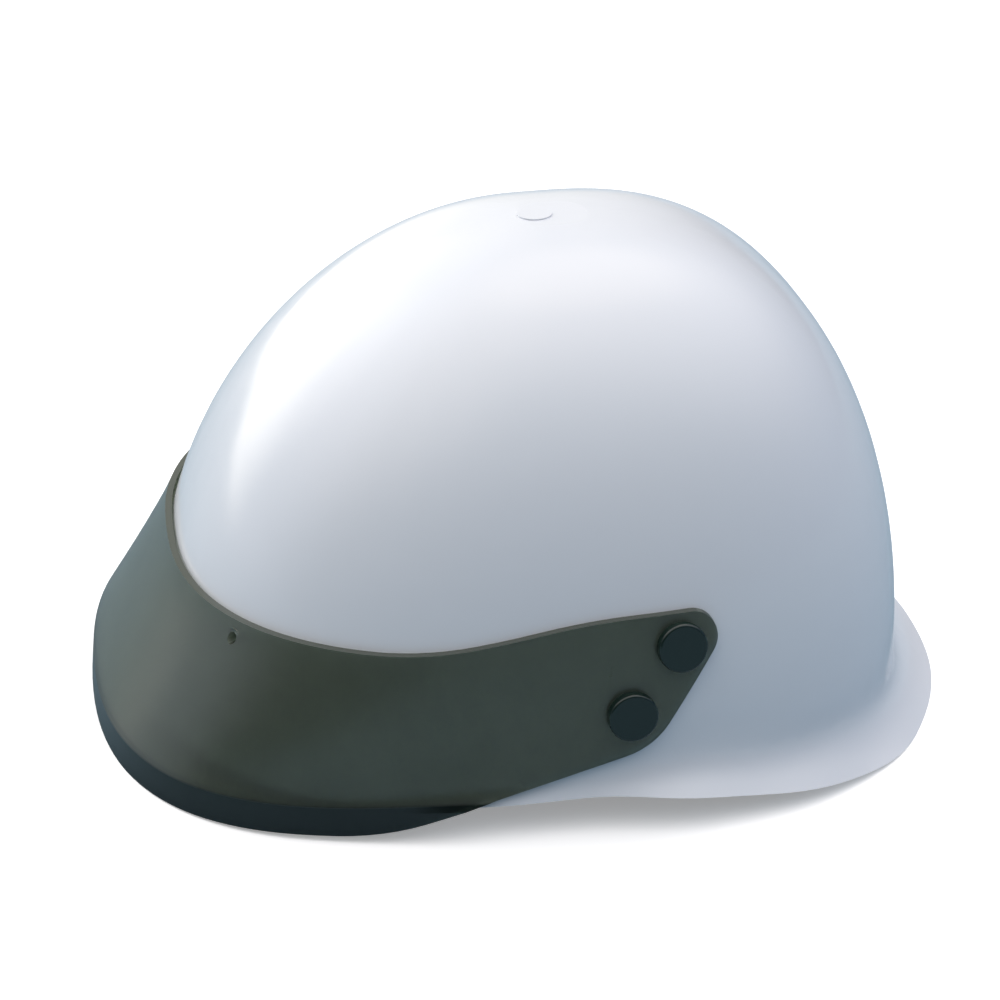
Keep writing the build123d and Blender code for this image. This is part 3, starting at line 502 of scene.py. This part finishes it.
knit, tree, surface = new_material("brushed_knit_over_foam", KNIT, 0.85, 1.5)
surface.inputs["Sheen Weight"].default_value = 0.5
surface.inputs["Sheen Roughness"].default_value = 0.5
place = add_node(tree, "ShaderNodeTexCoord")
loops = add_node(tree, "ShaderNodeTexVoronoi", {
    "Vector": place.outputs["Object"], "Scale": 1000 / STITCH, "Randomness": 0.35})
pile = add_node(tree, "ShaderNodeTexNoise", {
    "Vector": place.outputs["Object"], "Scale": 1000 / KNIT_PILE, "Detail": 4.0})
mixed = add_node(tree, "ShaderNodeMath", {
    0: loops.outputs["Distance"], 1: pile.outputs["Fac"]}, operation="MULTIPLY")
cloth = add_node(tree, "ShaderNodeMixRGB", {
    "Fac": mixed.outputs[0], "Color1": linear(KNIT_LIGHT), "Color2": linear(KNIT)})
tree.links.new(cloth.outputs["Color"], surface.inputs["Base Color"])
nap = add_node(tree, "ShaderNodeBump", {
    "Height": loops.outputs["Distance"], "Strength": 0.5, "Distance": 0.0002}, invert=True)
tree.links.new(nap.outputs[0], surface.inputs["Normal"])


def swell(pad, sewn, pressure, most):
    """Blows the sewn cloth up from inside, then keeps every point within its allowance."""
    rest = [vertex.co.copy() for vertex in pad.data.vertices]
    group = pad.vertex_groups.new(name="sewn")
    group.add(sewn, 1.0, "REPLACE")
    puff = pad.modifiers.new("puff", "CLOTH")
    puff.settings.quality = 6
    puff.settings.mass = 0.05
    puff.settings.tension_stiffness = 12
    puff.settings.compression_stiffness = 12
    puff.settings.bending_stiffness = 0.2
    puff.settings.vertex_group_mass = "sewn"
    puff.settings.use_pressure = True
    puff.settings.uniform_pressure_force = pressure
    puff.settings.effector_weights.gravity = 0
    for step in range(1, 21):
        bpy.context.scene.frame_set(step)
    blown = pad.evaluated_get(bpy.context.evaluated_depsgraph_get()).to_mesh()
    moved = [vertex.co.copy() for vertex in blown.vertices]
    pad.modifiers.remove(puff)
    for vertex, before, after in zip(pad.data.vertices, rest, moved):
        shift = after - before
        if shift.length > most:
            shift *= most / shift.length
        vertex.co = before + shift
    pad.vertex_groups.remove(group)
    bpy.context.scene.frame_set(1)


def quilt(name, columns, rows, spot, seam, node, pressure, most, closed=False):
    """Two cloth layers on a grid of columns and rows, sewn wherever seam says so."""
    mesh = bpy.data.meshes.new(name)
    build = bmesh.new()
    faces = []
    for layer in (0, 1):
        faces.append([[build.verts.new(standing @ spot(i / columns, j / rows, layer))
                       for j in range(rows + 1)]
                      for i in range(columns + (0 if closed else 1))])
    build.verts.index_update()
    sewn = []
    turns = columns if closed else columns + 1
    for layer, grid in enumerate(faces):
        for i in range(turns):
            for j in range(rows + 1):
                if layer == 0 or seam(i, j):
                    sewn.append(grid[i][j].index)
        for i in range(columns):
            for j in range(rows):
                a, b = grid[i], grid[(i + 1) % turns]
                quad = (a[j], b[j], b[j + 1], a[j + 1])
                build.faces.new(quad if layer else tuple(reversed(quad)))
    under, over = faces
    for i in range(columns):
        a, b = i, (i + 1) % turns
        build.faces.new((under[a][0], under[b][0], over[b][0], over[a][0]))
        build.faces.new((over[a][rows], over[b][rows], under[b][rows], under[a][rows]))
    if not closed:
        for j in range(rows):
            build.faces.new((over[0][j], over[0][j + 1], under[0][j + 1], under[0][j]))
            build.faces.new((under[-1][j], under[-1][j + 1], over[-1][j + 1], over[-1][j]))
    bmesh.ops.recalc_face_normals(build, faces=build.faces)
    for face in build.faces:
        face.smooth = True
    build.to_mesh(mesh)
    build.free()
    pad = bpy.data.objects.new(name, mesh)
    bpy.context.collection.objects.link(pad)
    swell(pad, sewn, pressure, most)
    rounded = pad.modifiers.new("rounded", "SUBSURF")
    rounded.levels = rounded.render_levels = 1
    mesh.materials.append(knit)
    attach(pad, "helmet")
    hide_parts(node)
    return pad


SWEAT_COLUMNS = 126
SWEAT_CHANNEL = 14            # columns between two cross seams
SWEAT_ROWS = 12
SWEAT_START = 184.5           # degrees, where the front of the headband begins
SWEAT_SWEEP = 171
SEAM_THICK = 0.0010           # at a seam, before the cloth swells


def sweat_spot(u, v, layer):
    """Along the oval front of the headband; layer 1 is the face against the forehead."""
    turn = radians(SWEAT_START) + u * radians(SWEAT_SWEEP)
    seamed = min(v, 1 - v) * SWEAT_ROWS
    thick = SEAM_THICK + 0.0008 * min(seamed, 1.5)
    inset = SWEAT_GAP + (thick if layer else 0.0)
    return Vector(((BAND_SIDE - inset) * cos(turn), BAND_CENTRE + (BAND_FRONT - inset) * sin(turn),
                   SWEAT_LOW + (SWEAT_HIGH - SWEAT_LOW) * v))


quilt("sweatband_cloth", SWEAT_COLUMNS, SWEAT_ROWS, sweat_spot,
      lambda i, j: j in (0, SWEAT_ROWS) or i % SWEAT_CHANNEL == 0 or i in (0, SWEAT_COLUMNS),
      "sweatband", 5.0, SWEAT_SWELL - SEAM_THICK)

PAD_RADIUS = 0.0315
PAD_BASE = 0.1176
PAD_RINGS = 10
PAD_COLUMNS = 48
PAD_QUARTER = 12               # columns between two seams


def crown_spot(u, v, layer):
    """A round pad; its cloth swells up and down from the seam round its edge."""
    turn = 2 * pi * u
    reach = PAD_RADIUS * (0.02 + 0.98 * v)
    thick = 0.0026 * (1 - v ** 6)
    height = PAD_BASE + 0.0010 + (thick if layer else -0.0008 * (1 - v ** 6))
    return Vector((reach * cos(turn), axis_back(PAD_BASE) + reach * sin(turn), height))


quilt("crown_pad_cloth", PAD_COLUMNS, PAD_RINGS, crown_spot,
      lambda i, j: j in (0, PAD_RINGS) or i % PAD_QUARTER == 0, "crown_pad", 3.0, 0.0008, closed=True)

NAPE_RADIUS = 0.0780           # outside of the pad, against the nape housing
NAPE_LOW = 0.0066
NAPE_HIGH = 0.0314
NAPE_COLUMNS = 30
NAPE_ROWS = 12
NAPE_HALF = 22                 # degrees from the middle to either end


def nape_spot(u, v, layer):
    """A short curved pad inside the nape housing, with one seam down its middle."""
    turn = radians(90 - NAPE_HALF + 2 * NAPE_HALF * u)
    seamed = min(min(v, 1 - v) * NAPE_ROWS, min(u, 1 - u) * NAPE_COLUMNS)
    thick = 0.0009 + 0.0007 * min(seamed, 1.5)
    reach = NAPE_RADIUS - (thick if layer else 0.0)
    return Vector((reach * cos(turn), BAND_CENTRE + reach * sin(turn), NAPE_LOW + (NAPE_HIGH - NAPE_LOW) * v))


quilt("nape_pad_cloth", NAPE_COLUMNS, NAPE_ROWS, nape_spot,
      lambda i, j: j in (0, NAPE_ROWS) or i in (0, NAPE_COLUMNS // 2, NAPE_COLUMNS),
      "nape_pad", 5.0, 0.0018)
